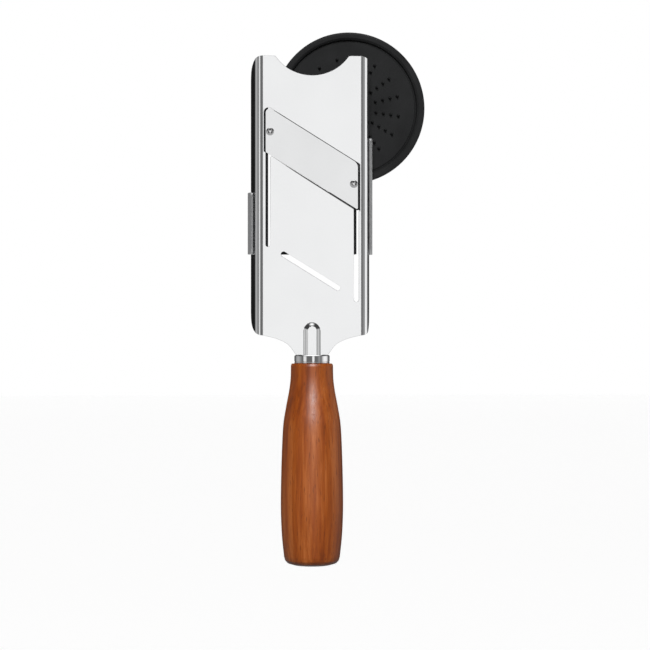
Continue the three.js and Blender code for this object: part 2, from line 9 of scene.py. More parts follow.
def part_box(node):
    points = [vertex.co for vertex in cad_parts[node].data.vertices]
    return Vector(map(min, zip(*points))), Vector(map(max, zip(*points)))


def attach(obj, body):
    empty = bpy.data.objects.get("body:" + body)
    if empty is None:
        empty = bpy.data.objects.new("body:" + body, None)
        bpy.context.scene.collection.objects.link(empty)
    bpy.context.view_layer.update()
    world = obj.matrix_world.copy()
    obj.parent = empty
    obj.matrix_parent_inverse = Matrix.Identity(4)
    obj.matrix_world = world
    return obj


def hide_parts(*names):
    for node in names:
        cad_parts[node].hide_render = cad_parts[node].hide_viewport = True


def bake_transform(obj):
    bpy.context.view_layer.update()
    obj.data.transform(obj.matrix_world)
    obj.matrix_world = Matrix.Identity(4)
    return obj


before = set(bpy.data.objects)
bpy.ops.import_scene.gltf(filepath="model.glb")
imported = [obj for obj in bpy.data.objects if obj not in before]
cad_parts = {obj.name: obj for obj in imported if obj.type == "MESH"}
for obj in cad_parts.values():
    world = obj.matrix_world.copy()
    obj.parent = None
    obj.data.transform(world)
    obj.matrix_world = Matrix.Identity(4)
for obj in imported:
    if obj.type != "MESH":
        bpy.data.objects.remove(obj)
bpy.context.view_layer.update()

MM = 0.001  # shapes are written in millimetres and made in metres

# ---- the part's own dimensions, in millimetres ----
SHEET = 1.2
BED_FRONT = -0.6
BED_HALF = 27.3  # half of the flat bed, as far as its bends
BEND = 4.6
WALL_TURN = math.radians(81)
CHANNEL_DEPTH = 14.6
TOP_Z, SHOULDER_Z = 229.0, 72.4
NOTCH_Z, NOTCH_R, HORN_ROUND = 243.0, 25.0, 2.0
WALL_END = [(0, 0), (3.5, 1.7), (8, 3.2), (12, 5.8), (13.9, 9), (15, 15.7)]  # depth, setback from the end
SLANT = 0.62  # fall of the blade for each step to the right
BLADE_TOP, BLADE_EDGE, HINGE = 184.9, 158.8, 108.0  # heights of the slanted lines at x = 0
BLADE_MID = (BLADE_TOP + BLADE_EDGE) / 2
BLADE_LEFT, BLADE_RIGHT = -26.0, 25.8
WINDOW_LEFT, WINDOW_RIGHT = -27.0, 27.0
SLOT_LEFT, SLOT_RIGHT = (-26.0, -23.4), (23.5, 26.3)
SEAM, EDGE_GAP = 0.3, 0.12
DIAGONAL = (-15.9, 14.5, 3.0)  # slot along the hinge: x of its two ends, width
NECK = [(BED_HALF, SHOULDER_Z), (19.8, 70.5), (13.6, 67.4), (9.2, 61.8)]
TANG_HALF, TANG_BOTTOM = 6.0, -24.0
EMBOSS_HALF, EMBOSS_FLANK, EMBOSS_HEIGHT, EMBOSS_TOP = 2.6, 1.95, 1.2, 79.6
SCREW_X = 23.5
BLADE_THICK, BLADE_TIP, GRIND = 1.0, 0.15, 3.2  # the ground edge thins to the tip
SCREW_HOLE = 1.5
ROLL_WIDTH, ROLL_DEPTH, ROLL_START = 1.0, 0.95, -22.2  # rolled edge below the blade
EASE = 0.16  # rounding of the sheets' edges
BRIDGE_BACK = 16.2


def slanted(z, x):
    return z - SLANT * x


def centre(node):
    """Middle of a CAD node's box, in millimetres."""
    low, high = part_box(node)
    return (low + high) / 2 / MM


# ---------------------------------------------------------------- materials

def set_stops(ramp, stops):
    """Gives a colour ramp its stops (position, colour), listed in rising order."""
    for k, (at, colour) in enumerate(stops):
        stop = ramp.elements[k] if k < 2 else ramp.elements.new(at)
        stop.position = at
        stop.color = (*colour, 1)


class Shader:
    """A node material under construction, its pattern in the object's own coordinates, in metres."""

    def __init__(self, name, **fixed):
        self.material = bpy.data.materials.new(name)
        self.material.use_nodes = True
        self.tree = self.material.node_tree
        self.bsdf = self.tree.nodes["Principled BSDF"]
        for socket, value in fixed.items():
            self.bsdf.inputs[socket.replace("_", " ")].default_value = value
        self.place = self.tree.nodes.new("ShaderNodeTexCoord").outputs["Object"]

    def link(self, a, b):
        self.tree.links.new(a, b)

    def mapped(self, scale, rotation=(0, 0, 0), of=None):
        node = self.tree.nodes.new("ShaderNodeMapping")
        node.inputs["Scale"].default_value = scale
        node.inputs["Rotation"].default_value = rotation
        self.link(of or self.place, node.inputs["Vector"])
        return node.outputs["Vector"]

    def turned(self, angle):
        """The coordinates turned about Y, before any stretch."""
        return self.mapped((1, 1, 1), (0, angle, 0))

    def noise(self, vector, scale=1.0, detail=2.0, roughness=0.5, distortion=0.0):
        node = self.tree.nodes.new("ShaderNodeTexNoise")
        for key, value in (("Scale", scale), ("Detail", detail), ("Roughness", roughness),
                           ("Distortion", distortion)):
            node.inputs[key].default_value = value
        self.link(vector, node.inputs["Vector"])
        return node.outputs["Fac"]

    def voronoi(self, vector):
        node = self.tree.nodes.new("ShaderNodeTexVoronoi")
        node.inputs["Scale"].default_value = 1.0
        self.link(vector, node.inputs["Vector"])
        return node.outputs["Distance"]

    def span(self, value, low, high, to_low=0.0, to_high=1.0):
        node = self.tree.nodes.new("ShaderNodeMapRange")
        node.inputs["From Min"].default_value = low
        node.inputs["From Max"].default_value = high
        node.inputs["To Min"].default_value = to_low
        node.inputs["To Max"].default_value = to_high
        self.link(value, node.inputs["Value"])
        return node.outputs["Result"]

    def maths(self, operation, a, b):
        node = self.tree.nodes.new("ShaderNodeMath")
        node.operation = operation
        for value, socket in ((a, node.inputs[0]), (b, node.inputs[1])):
            if isinstance(value, (int, float)):
                socket.default_value = value
            else:
                self.link(value, socket)
        return node.outputs[0]

    def ramp(self, value, stops):
        node = self.tree.nodes.new("ShaderNodeValToRGB")
        set_stops(node.color_ramp, stops)
        self.link(value, node.inputs["Fac"])
        return node.outputs["Color"]

    def mix(self, factor, a, b):
        node = self.tree.nodes.new("ShaderNodeMix")
        node.data_type = "RGBA"
        sockets = [node.inputs[0], node.inputs[6], node.inputs[7]]
        for value, socket in zip((factor, a, b), sockets):
            if isinstance(value, (int, float)):
                socket.default_value = value
            elif isinstance(value, tuple):
                socket.default_value = (*value, 1)
            else:
                self.link(value, socket)
        return node.outputs[2]

    def colour(self, value):
        self.link(value, self.bsdf.inputs["Base Color"])

    def roughness(self, value):
        self.link(value, self.bsdf.inputs["Roughness"])

    def bump(self, height, distance):
        """Adds a layer of relief over the ones before it; distance is the relief's depth in metres."""
        node = self.tree.nodes.new("ShaderNodeBump")
        node.inputs["Strength"].default_value = 1.0
        node.inputs["Distance"].default_value = distance
        self.link(height, node.inputs["Height"])
        normal = self.bsdf.inputs["Normal"]
        if normal.is_linked:
            self.link(normal.links[0].from_socket, node.inputs["Normal"])
        self.link(node.outputs["Normal"], normal)


def scaled(tint, factor):
    return tuple(c * factor for c in tint)


def steel(name, tint, rough, grain, lean=0.0, relief=2e-6):
    """Sheet steel with its fine rolling lines; grain is the stretch of the lines across and along."""
    s = Shader(name, Metallic=1.0)
    turned = s.turned(lean)
    across, along = grain
    lines = s.noise(s.mapped((across, across, along), of=turned), detail=3.0, roughness=0.65)
    cloud = s.noise(turned, scale=38.0, detail=2.0)
    specks = s.noise(turned, scale=2600.0, detail=1.0)
    s.colour(s.mix(s.span(lines, 0.3, 0.7), scaled(tint, 0.975), tint))
    dust = s.maths("ADD", s.span(cloud, 0.35, 0.65, -0.01, 0.01),
                   s.span(lines, 0.25, 0.75, -0.015, 0.015))
    s.roughness(s.maths("ADD", s.maths("ADD", dust, rough), s.span(specks, 0.6, 0.8, 0.0, 0.02)))
    s.bump(lines, relief)
    return s.material


def bright(name, tint, rough):
    """Turned or plated metal: almost a mirror, with a trace of polishing marks."""
    s = Shader(name, Metallic=1.0)
    marks = s.noise(s.place, scale=900.0, detail=3.0, roughness=0.6)
    cloud = s.noise(s.place, scale=120.0)
    s.colour(s.mix(s.span(cloud, 0.35, 0.65), scaled(tint, 0.96), tint))
    s.roughness(s.span(marks, 0.3, 0.7, rough * 0.7, rough * 1.3))
    s.bump(marks, 1.2e-6)
    return s.material


def moulded(name, tint, rough, grain=2200.0, relief=1.2e-5):
    """Moulded black plastic with its fine eroded texture."""
    s = Shader(name, Metallic=0.0)
    s.bsdf.inputs["Specular IOR Level"].default_value = 0.3
    texture = s.noise(s.place, scale=grain, detail=2.0, roughness=0.6)
    cloud = s.noise(s.place, scale=70.0, detail=3.0)
    scuffs = s.noise(s.mapped((900, 900, 120), (0.4, 0.3, 0.2)), detail=2.0)
    s.colour(s.mix(s.span(cloud, 0.3, 0.7), scaled(tint, 0.82), scaled(tint, 1.15)))
    wear = s.maths("ADD", s.span(texture, 0.3, 0.7, rough - 0.05, rough + 0.06),
                   s.span(scuffs, 0.62, 0.8, 0.0, -0.06))
    s.roughness(wear)
    s.bump(texture, relief)
    return s.material


def wood():
    """Oiled hardwood: an even warm brown with faint bands, short dark flecks and open pores."""
    s = Shader("oiled_hardwood")
    s.bsdf.inputs["Specular IOR Level"].default_value = 0.32
    drift = s.noise(s.mapped((30, 30, 16)), detail=3.0, distortion=0.3)
    bands = s.noise(s.mapped((210, 210, 9)), detail=4.0, roughness=0.5, distortion=0.35)
    streaks = s.noise(s.mapped((640, 640, 22)), detail=4.0, roughness=0.6, distortion=0.2)
    fibres = s.noise(s.mapped((2600, 2600, 90)), detail=2.0, roughness=0.6)
    flecks = s.noise(s.mapped((1300, 1300, 170)), detail=1.0)
    pores = s.voronoi(s.mapped((1700, 1700, 230)))
    tone = s.maths("ADD", s.maths("MULTIPLY", drift, 0.30),
                   s.maths("ADD", s.maths("MULTIPLY", bands, 0.40), s.maths("MULTIPLY", streaks, 0.30)))
    body = s.ramp(tone, [
        (0.38, (0.150, 0.026, 0.002)), (0.46, (0.240, 0.048, 0.004)),
        (0.52, (0.300, 0.068, 0.007)), (0.60, (0.390, 0.108, 0.022))])
    grained = s.mix(s.span(fibres, 0.35, 0.62, 0.30, 0.0), body, (0.17, 0.042, 0.006))
    flecked = s.mix(s.span(flecks, 0.62, 0.74, 0.0, 0.6), grained, (0.105, 0.024, 0.004))
    dots = s.maths("MULTIPLY", s.span(pores, 0.08, 0.20, 1.0, 0.0), s.span(bands, 0.42, 0.60))
    s.colour(s.mix(s.maths("MULTIPLY", dots, 0.6), flecked, (0.090, 0.026, 0.008)))
    s.roughness(s.maths("ADD", s.span(fibres, 0.3, 0.7, 0.34, 0.46), s.maths("MULTIPLY", dots, 0.2)))
    s.bump(fibres, 1.8e-5)
    s.bump(s.maths("SUBTRACT", streaks, dots), 4.0e-5)
    return s.material


FINISH = {
    "bed_steel": steel("polished_sheet", (0.93, 0.935, 0.94), 0.12, (5200, 42), relief=1e-6),
    "blade_steel": steel("satin_blade", (0.885, 0.89, 0.895), 0.15, (42, 5200), -math.atan(SLANT), 0.8e-6),
    "bridge_steel": steel("satin_sheet", (0.90, 0.905, 0.91), 0.58, (5200, 60)),
    "bright_hardware": bright("polished_hardware", (0.83, 0.83, 0.835), 0.10),
    "plain_hardware": bright("turned_steel", (0.60, 0.60, 0.61), 0.26),
    "black_plastic": moulded("black_moulding", (0.010, 0.0103, 0.011), 0.55),
    "guard_plastic": moulded("guard_moulding", (0.0135, 0.0138, 0.0142), 0.52, 1700.0, 1.4e-5),
    "ferrule_chrome": bright("chrome_ring", (0.90, 0.90, 0.905), 0.055),
    "handle_wood": wood(),
}


# ---------------------------------------------------------------- making pieces

def as_mesh(bm, name):
    mesh = bpy.data.meshes.new(name)
    bm.to_mesh(mesh)
    bm.free()
    return mesh


def in_scene(name, data):
    obj = bpy.data.objects.new(name, data)
    bpy.context.scene.collection.objects.link(obj)
    return obj


def piece(name, mesh, body, slot, nodes):
    obj = in_scene(name, mesh)
    mesh.materials.clear()
    mesh.materials.append(FINISH[slot])
    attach(obj, body)
    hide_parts(*nodes)
    return obj


def weigh_normals(obj, sharp=32):
    """Flat faces stay flat and rounded edges stay soft: normals follow the larger faces."""
    obj.data.set_sharp_from_angle(angle=math.radians(sharp))
    modifier = obj.modifiers.new("weighted", "WEIGHTED_NORMAL")
    modifier.keep_sharp = True
    modifier.weight = 100
    return obj


def rounded(points, closed=True, steps=5):
    """Points (x, y, radius), each corner turned into an arc of its radius."""
    path = []
    n = len(points)
    for i, (x, y, *rest) in enumerate(points):
        radius = rest[0] if rest else 0
        here = Vector((x, y))
        if radius == 0 or (not closed and i in (0, n - 1)):
            path.append(here)
            continue
        back = (Vector(points[i - 1][:2]) - here).normalized()
        ahead = (Vector(points[(i + 1) % n][:2]) - here).normalized()
        half = math.acos(max(-1, min(1, back.dot(ahead)))) / 2
        if math.pi / 2 - half < 1e-3:
            path.append(here)
            continue
        middle = here + (back + ahead).normalized() * (radius / math.sin(half))
        start = here + back * (radius / math.tan(half)) - middle
        end = here + ahead * (radius / math.tan(half)) - middle
        turn = math.atan2(start.x * end.y - start.y * end.x, start.dot(end))
        for k in range(steps + 1):
            a = turn * k / steps
            path.append(middle + Vector((start.x * math.cos(a) - start.y * math.sin(a),
                                         start.x * math.sin(a) + start.y * math.cos(a))))
    return path


def spline(points, count):
    """Even Catmull-Rom curve through the points."""
    out = []
    n = len(points) - 1
    for k in range(count + 1):
        at = k / count * n
        i = min(int(at), n - 1)
        t = at - i
        p0, p1 = points[max(i - 1, 0)], points[i]
        p2, p3 = points[i + 1], points[min(i + 2, n)]
        out.append(tuple(
            0.5 * (2 * b + (c - a) * t + (2 * a - 5 * b + 4 * c - d) * t * t
                   + (3 * b - a - 3 * c + d) * t ** 3)
            for a, b, c, d in zip(p0, p1, p2, p3)))
    return out


def area2(points):
    return sum(a[0] * b[1] - b[0] * a[1] for a, b in zip(points, points[1:] + points[:1]))


def moved_in(points, inset):
    """The closed outline moved to its left by inset."""
    if inset == 0:
        return [Vector(p) for p in points]
    out = []
    n = len(points)
    for i in range(n):
        before, here, after = (Vector(points[j % n]) for j in (i - 1, i, i + 1))
        a, b = (here - before).normalized(), (after - here).normalized()
        na, nb = Vector((-a.y, a.x)), Vector((-b.y, b.x))
        mid = na + nb
        mid = mid.normalized() if mid.length > 1e-6 else na
        out.append(here + mid * inset / max(0.35, mid.dot(na)))
    return out


def inside(point, rings):
    """Even-odd test of a point against closed rings."""
    x, y = point
    odd = False
    for ring in rings:
        for a, b in zip(ring, ring[1:] + ring[:1]):
            if (a[1] > y) != (b[1] > y) and x < (b[0] - a[0]) * (y - a[1]) / (b[1] - a[1]) + a[0]:
                odd = not odd
    return odd


def cap_triangles(rings):
    points = [Vector(p) for ring in rings for p in ring]
    edges, start = [], 0
    for ring in rings:
        n = len(ring)
        edges += [(start + k, start + (k + 1) % n) for k in range(n)]
        start += n
    xy, _, faces, origin, _, _ = delaunay_2d_cdt(points, edges, [], 0, 1e-5)
    found = []
    for face in faces:
        middle = sum((xy[k] for k in face), Vector((0, 0))) / len(face)
        if inside(middle, rings):
            found.append([origin[k][0] for k in face])
    return found


def plate(outlines, thickness, edge=EASE, steps=2, square=None):
    """A flat plate with softly rounded edges as bmesh: x across, z up, y from 0 at the front.
    outlines[0] is the rim, and the others are holes. Where square(x, z) is true the edge stays square."""
    rings = []
    for k, ring in enumerate(outlines):
        ring = [tuple(p[:2]) for p in ring]
        ring = [p for i, p in enumerate(ring) if (Vector(p) - Vector(ring[i - 1])).length > 1e-4]
        if (area2(ring) > 0) != (k == 0):
            ring.reverse()
        rings.append(ring)
    arc = [math.pi / 2 * k / steps for k in range(steps + 1)]
    levels = [(edge * (1 - math.sin(a)), edge * (1 - math.cos(a))) for a in arc]  # inset, depth
    levels += [(inset, thickness - depth) for inset, depth in reversed(levels)]
    bm = bmesh.new()
    made = []
    for inset, depth in levels:
        level = []
        for ring in rings:
            points = [Vector(q) if square and square(*q) else p
                      for p, q in zip(moved_in(ring, inset), ring)]
            level.append([bm.verts.new((p.x, depth, p.y)) for p in points])
        made.append(level)
    for upper, lower in zip(made, made[1:]):
        for a, b in zip(upper, lower):
            for i in range(len(a)):
                bm.faces.new((a[i - 1], a[i], b[i], b[i - 1]))
    for level in (made[0], made[-1]):
        flat = [v for ring in level for v in ring]
        for face in cap_triangles([[(v.co.x, v.co.z) for v in ring] for ring in level]):
            bm.faces.new([flat[k] for k in face])
    bmesh.ops.recalc_face_normals(bm, faces=bm.faces[:])
    return bm


def cut(bm, point, normal, faces=None):
    geom = bm.faces[:] if faces is None else faces
    edges = {e for f in geom for e in f.edges}
    verts = {v for f in geom for v in f.verts}
    bmesh.ops.bisect_plane(bm, geom=[*geom, *edges, *verts], plane_co=point, plane_no=normal, dist=1e-5)


def plate_normals(bm, thickness):
    """Exact normals of a flat plate: square to its faces, and outwards round its edges."""
    found = {}
    for v in bm.verts:
        if v.co.y < 1e-5:
            found[v] = Vector((0, -1, 0))
        elif v.co.y > thickness - 1e-5:
            found[v] = Vector((0, 1, 0))
        else:
            around = [f for f in v.link_faces if abs(f.normal.y) < 0.999]
            found[v] = sum((f.normal * f.calc_area() for f in around), Vector()).normalized()
    return found


def shaped(bm, normals, place, flip=False):
    """Moves each vertex by place(x, depth, z, normal) and gives the mesh those normals; in mm."""
    order = list(bm.verts)
    exact = []
    for v in order:
        at, n = place(v.co.x, v.co.y, v.co.z, normals[v])
        v.co = Vector(at) * MM
        exact.append(n)
    if flip:
        bmesh.ops.reverse_faces(bm, faces=bm.faces[:])
    mesh = as_mesh(bm, "plate")
    mesh.shade_smooth()
    mesh.normals_split_custom_set_from_vertices([tuple(n) for n in exact])
    return mesh


def folded(s, t, z, n, half, outer, turn, face, side):
    """A flat plate's point (s, t) folded at both bends. face is the outer face's Y; side is +1 if
    the plate folds towards +Y."""
    sign = 1 if s >= 0 else -1
    u = abs(s) - half
    if u <= 0:
        return (s, face + side * t, z), Vector((n.x, side * n.y, n.z))
    a = min(u / outer, turn)
    x = half + (outer - t) * math.sin(a)
    y = outer - (outer - t) * math.cos(a)
    rest = u - outer * turn
    if rest > 0:
        x += rest * math.cos(turn)
        y += rest * math.sin(turn)
    nx = sign * n.x * math.cos(a) - n.y * math.sin(a)
    ny = sign * n.x * math.sin(a) + n.y * math.cos(a)
    return (sign * x, face + side * y, z), Vector((sign * nx, side * ny, n.z))


def lathe(profile, at, axis="Y", steps=96, ripple=None):
    """Turned mesh of (radius, height) points, in mm. at is the axis' foot; ripple changes a radius
    by angle. A profile that doesn't start and end on the axis is closed on itself."""
    bm = bmesh.new()
    columns = []
    for r, h in profile:
        if r < 1e-6:
            columns.append([bm.verts.new((0, 0, h))] * steps)
            continue
        ring = []
        for k in range(steps):
            a = 2 * math.pi * k / steps
            rr = ripple(r, h, a) if ripple else r
            ring.append(bm.verts.new((rr * math.cos(a), rr * math.sin(a), h)))
        columns.append(ring)
    pairs = list(zip(columns, columns[1:]))
    if profile[0][0] > 1e-6 and profile[-1][0] > 1e-6:
        pairs.append((columns[-1], columns[0]))
    for a, b in pairs:
        for k in range(steps):
            corners = [a[k - 1], a[k], b[k], b[k - 1]]
            unique = list(dict.fromkeys(corners))
            if len(unique) > 2:
                bm.faces.new(unique)
    if axis == "Y":
        turn = Matrix(((1, 0, 0), (0, 0, 1), (0, -1, 0))).to_4x4()  # height runs along +Y
        bm.transform(turn)
    bm.transform(Matrix.Scale(MM, 4) @ Matrix.Translation(Vector(at)))
    return bm


def turned(name, profile, at, body, slot, nodes, axis="Y", steps=96, ripple=None, sharp=32):
    bm = lathe(profile, at, axis, steps, ripple)
    bmesh.ops.recalc_face_normals(bm, faces=bm.faces[:])
    mesh = as_mesh(bm, name)
    mesh.shade_smooth()
    return weigh_normals(piece(name, mesh, body, slot, nodes), sharp)


def soft(points, radius, steps=4):
    """A turned profile (radius, height[, own corner radius]) with its corners eased."""
    full = [(x, y, rest[0] if rest else (0 if x < 1e-6 else radius)) for x, y, *rest in points]
    closed = full[0][0] > 1e-6 and full[-1][0] > 1e-6
    return [(max(0.0, p.x), p.y) for p in rounded(full, closed=closed, steps=steps)]


def boolean(obj, cutter, operation="DIFFERENCE"):
    """Joins or cuts the mesh for good, and removes the cutter."""
    modifier = obj.modifiers.new("boolean", "BOOLEAN")
    modifier.operation = operation
    modifier.solver = "MANIFOLD"
    modifier.object = cutter
    for weighted in [m for m in obj.modifiers if m.type == "WEIGHTED_NORMAL"]:
        obj.modifiers.remove(weighted)
    bpy.context.view_layer.update()
    result = bpy.data.meshes.new_from_object(obj.evaluated_get(bpy.context.evaluated_depsgraph_get()))
    obj.modifiers.clear()
    material = obj.data.materials[0]
    obj.data = result
    obj.data.materials.clear()
    obj.data.materials.append(material)
    for polygon in obj.data.polygons:
        polygon.material_index = 0
    bpy.data.objects.remove(cutter)
    obj.data.shade_smooth()
    return weigh_normals(obj)


def loose(bm):
    """A body for boolean() to use up."""
    bmesh.ops.recalc_face_normals(bm, faces=bm.faces[:])
    return in_scene("cutter", as_mesh(bm, "cutter"))


def keep(node, slot, bevel=0.2, segments=2):
    """A CAD node stays as it is, with its edges eased and its own finish."""
    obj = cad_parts[node]
    weld = obj.modifiers.new("weld", "WELD")
    weld.merge_threshold = 1e-6
    ease = obj.modifiers.new("ease", "BEVEL")
    ease.width = bevel * MM
    ease.segments = segments
    ease.limit_method = "ANGLE"
    ease.angle_limit = math.radians(40)
    obj.modifiers.new("weighted", "WEIGHTED_NORMAL").weight = 100
    for material_slot in obj.material_slots:
        material_slot.material = FINISH[slot]


# ---------------------------------------------------------------- body sheet

def depth_of(u):
    """Depth behind the bed's front of the outer face, u along the unfolded wall."""
    if u <= BEND * WALL_TURN:
        return BEND - BEND * math.cos(u / BEND)
    return BEND - BEND * math.cos(WALL_TURN) + (u - BEND * WALL_TURN) * math.sin(WALL_TURN)


WALL_U = BEND * WALL_TURN + (CHANNEL_DEPTH - BEND * (1 - math.cos(WALL_TURN))) / math.sin(WALL_TURN)
setback_curve = spline(WALL_END, 60)


def setback(depth):
    for (d0, z0), (d1, z1) in zip(setback_curve, setback_curve[1:]):
        if d0 <= depth <= d1:
            return z0 + (z1 - z0) * (depth - d0) / (d1 - d0)
    return setback_curve[-1][1]


def sheet_outline():
    wall = [WALL_U * (k / 36) for k in range(37)]
    half = [(TANG_HALF - 1.5, TANG_BOTTOM), (TANG_HALF - 0.45, TANG_BOTTOM + 0.45),
            (TANG_HALF, TANG_BOTTOM + 1.5), (TANG_HALF, 61.5), (8.9, 61.6)]
    half += list(reversed(spline(NECK, 24)))
    half += [(BED_HALF + u, SHOULDER_Z + setback(depth_of(u))) for u in wall[1:]]
    half += [(BED_HALF + u, TOP_Z - setback(depth_of(u))) for u in reversed(wall[1:])]
    drop = NOTCH_Z - TOP_Z + HORN_ROUND
    x = math.sqrt((NOTCH_R + HORN_ROUND) ** 2 - drop ** 2)
    lean = math.atan2(drop, x)
    for k in range(9):
        a = math.pi / 2 + (math.pi / 2 - lean) * k / 8
        half.append((x + HORN_ROUND * math.cos(a), TOP_Z - HORN_ROUND + HORN_ROUND * math.sin(a)))
    for k in range(1, 28):
        a = -lean - (math.pi / 2 - lean) * k / 28
        half.append((NOTCH_R * math.cos(a), NOTCH_Z + NOTCH_R * math.sin(a)))
    return half + [(0, NOTCH_Z - NOTCH_R)] + [(-a, b) for a, b in reversed(half)]


LEAN = -math.atan(SLANT)
ALONG = Vector((math.cos(LEAN), math.sin(LEAN)))
SLOT_ENDS = [Vector((x, slanted(HINGE, x))) for x in DIAGONAL[:2]]


def arc(centre, radius, start, turn, steps=10):
    return [(centre[0] + radius * math.cos(start + turn * k / steps),
             centre[1] + radius * math.sin(start + turn * k / steps)) for k in range(steps + 1)]


def circle(centre, radius, sides=32):
    return arc(centre, radius, 0, -2 * math.pi * (sides - 1) / sides, sides - 1)


def on_hinge(x, z):
    """True on the two webs at the ends of the diagonal slot, where tongue and bed are one sheet."""
    return abs(z - slanted(HINGE, x)) < 0.01


def hinge_line(upper):
    """The slanted line from slot to slot, along the upper or lower half of the diagonal slot."""
    half = DIAGONAL[2] / 2
    side = -1 if upper else 1
    first, last = SLOT_ENDS
    return (arc(first, half, LEAN + math.pi, side * math.pi / 2)
            + arc(last, half, LEAN - side * math.pi / 2, side * math.pi / 2))


def sheet_opening():
    """One opening in the bed: the blade's window above and the ramp tongue with its slots below."""
    (lo, li), (ri, ro) = SLOT_LEFT, SLOT_RIGHT
    edge = BLADE_EDGE - EDGE_GAP
    left = ((lo + li) / 2, slanted(HINGE, (lo + li) / 2))
    right = ((ri + ro) / 2, slanted(HINGE, (ri + ro) / 2))
    points = [(WINDOW_LEFT, slanted(BLADE_TOP + SEAM, WINDOW_LEFT), 2.6),
              (WINDOW_LEFT, slanted(edge, WINDOW_LEFT), 0.22),
              (lo, slanted(edge, lo), 0.22)]
    points += arc(left, (li - lo) / 2, math.pi, math.pi + LEAN)
    points += hinge_line(False)
    points += arc(right, (ro - ri) / 2, math.pi + LEAN, math.pi - LEAN)
    points += [(ro, slanted(edge, ro), 0.22),
               (WINDOW_RIGHT, slanted(edge, WINDOW_RIGHT), 0.18),
               (WINDOW_RIGHT, slanted(BLADE_TOP + SEAM, WINDOW_RIGHT), 1.2)]
    return rounded(points)


def emboss(x, z):
    """Height of the stamped rib and its slopes across and along."""
    def height(x, z):
        top = EMBOSS_TOP - EMBOSS_FLANK - EMBOSS_HALF
        d = math.hypot(x, max(0.0, z - top))
        t = min(1, max(0, (EMBOSS_HALF + EMBOSS_FLANK - d) / EMBOSS_FLANK))
        return EMBOSS_HEIGHT * (0.12 * (3 * t * t - 2 * t ** 3) + 0.88 * t)
    e = 0.02
    return (height(x, z), (height(x + e, z) - height(x - e, z)) / (2 * e),
            (height(x, z + e) - height(x, z - e)) / (2 * e))


def body_place(s, t, z, n):
    if abs(s) < EMBOSS_HALF + EMBOSS_FLANK + 0.1 and z < EMBOSS_TOP + 0.1:
        h, hx, hz = emboss(s, z)
        if abs(n.y) > 0.9:
            n = (Vector((-hx, -1, -hz)) if n.y < 0 else Vector((hx, 1, hz))).normalized()
        return (s, BED_FRONT + t - h, z), n
    return folded(s, t, z, n, BED_HALF, BEND, WALL_TURN, BED_FRONT, 1)


def body_sheet():
    bm = plate([sheet_outline(), sheet_opening()], SHEET, square=on_hinge)
    bend_cuts, rib_cuts, rib_step = 24, 30, 0.45
    for side in (-1, 1):
        for k in range(bend_cuts + 1):
            cut(bm, (side * (BED_HALF + BEND * WALL_TURN * k / bend_cuts), 0, 0), (1, 0, 0))
    reach = EMBOSS_HALF + EMBOSS_FLANK
    for x in (-reach - 0.3, reach + 0.3):
        cut(bm, (x, 0, 0), (1, 0, 0))
    for z in (57.0, EMBOSS_TOP + 0.4):
        cut(bm, (0, 0, z), (0, 0, 1))

    def within():
        """The faces that the rib is stamped from."""
        out = []
        for f in bm.faces:
            c = f.calc_center_median()
            if abs(c.x) < reach + 0.31 and c.z < EMBOSS_TOP + 0.4:
                out.append(f)
        return out
    for k in range(rib_cuts + 1):
        cut(bm, (-reach + 2 * reach * k / rib_cuts, 0, 0), (1, 0, 0), within())
    for k in range(40):
        z = EMBOSS_TOP + 0.2 - k * rib_step
        cut(bm, (0, 0, z), (0, 0, 1), within())
    for z in (50, 40, 30, 20, 10, 0, -10, -18):
        cut(bm, (0, 0, z), (0, 0, 1), within())
    normals = plate_normals(bm, SHEET)
    piece("bed_and_walls", shaped(bm, normals, body_place), "slicer", "bed_steel", ["body_sheet"])


def ramp_tongue():
    """The tongue is one sheet with the bed at its foot; here it stays flat, and only its edge below the blade
    rolls back.
    """
    (_, li), (ri, _) = SLOT_LEFT, SLOT_RIGHT
    edge = BLADE_EDGE - EDGE_GAP
    outline = rounded([(li, slanted(HINGE, li)), *hinge_line(True), (ri, slanted(HINGE, ri)),
                       (ri, slanted(edge, ri), 0.8), (li, slanted(edge, li), 0.8)])
    bm = plate([outline], SHEET, square=on_hinge)
    across = Vector((-ALONG.y, ALONG.x))
    up = Vector((across.x, 0, across.y))
    for k in range(1, 11):
        point = SLOT_ENDS[0] + across * 0.3 * k
        cut(bm, (point.x, 0, point.y), up)
    rim = Vector((0, edge))
    for k in range(1, 9):
        point = rim - across * ROLL_WIDTH * k / 8
        cut(bm, (point.x, 0, point.y), up)

    def rolled(x, t, z, n):
        """The front face rolls back towards the rear along the edge below the blade."""
        d = min(1, max(0, (rim - Vector((x, z))).dot(across) / ROLL_WIDTH))
        fade = min(1, max(0, x - ROLL_START)) * (1 - t / SHEET)
        height = 1 - (1 - d) ** 2
        if n.y < -0.5 and fade > 0:
            slope = min(3.0, ROLL_DEPTH / ROLL_WIDTH * (1 - d) / math.sqrt(max(0.02, height))) * fade
            n = (Vector((0, -1, 0)) + up * slope).normalized()
        return (x, BED_FRONT + t + ROLL_DEPTH * (1 - math.sqrt(height)) * fade, z), n
    mesh = shaped(bm, plate_normals(bm, SHEET), rolled)
    obj = in_scene("tongue", mesh)
    mesh.materials.append(FINISH["bed_steel"])
    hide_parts("ramp_tongue")
    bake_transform(obj)


# ---------------------------------------------------------------- blade and its screws

